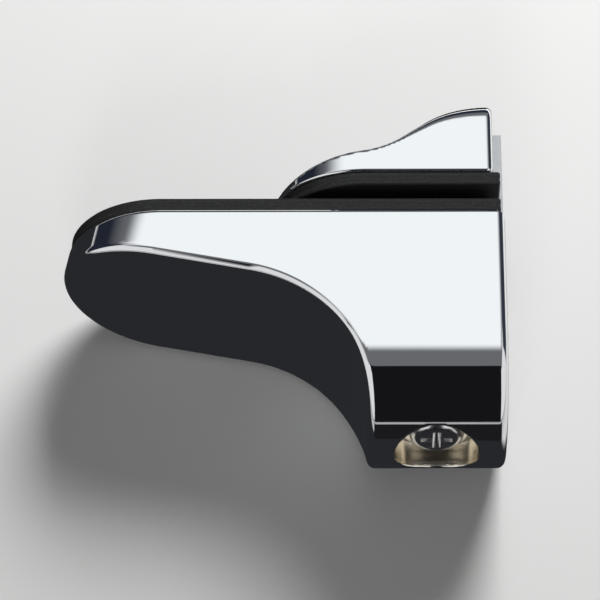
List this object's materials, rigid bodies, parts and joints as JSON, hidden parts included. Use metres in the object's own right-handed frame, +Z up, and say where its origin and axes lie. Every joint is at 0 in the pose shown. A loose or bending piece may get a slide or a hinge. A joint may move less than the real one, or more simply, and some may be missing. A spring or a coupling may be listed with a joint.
{
  "type": "clamping shelf bracket",
  "caption": "Chromed wall bracket that clamps the edge of a glass or board shelf between two rubber-faced jaws, drawn together by a screw from below.",
  "frame": {"origin": "middle of the wall plate's two wall holes, on the wall", "axes": "+Z up as installed, +Y into the wall, -Y out along the shelf, +X to the right seen from the front"},
  "size_m": [0.028, 0.0645, 0.052],
  "materials": {
    "chrome_casting": "polished chrome plating on a zinc casting",
    "pad_rubber": "fine matt moulded surface",
    "plated_steel": "zinc plated",
    "screw_steel": "nickel plated",
    "spring_steel": "dark oiled"
  },
  "bodies": {
    "wall_side": {"wall_plate": "plated_steel", "upper_jaw": "chrome_casting", "upper_pad": "pad_rubber", "jaw_fixing_screw": "plated_steel"},
    "lower_jaw": {"lower_jaw": "chrome_casting", "lower_pad": "pad_rubber"},
    "screw": {"clamp_screw": "screw_steel", "retaining_ring": "spring_steel"}
  },
  "joints": [
    {"name": "jaw_slide", "type": "slide", "parent": "wall_side", "child": "lower_jaw", "axis": [0, 0, -1], "range_m": [-0.0019, 0.0107]},
    {"name": "screw_turn", "type": "hinge", "parent": "lower_jaw", "child": "screw", "pos_m": [0, -0.01, -0.01], "axis": [0, 0, 1], "range_deg": [-5503, 978]}
  ],
  "couplings": [
    {"joint": "screw_turn", "follows": "jaw_slide", "rad_per_m": -8976}
  ]
}
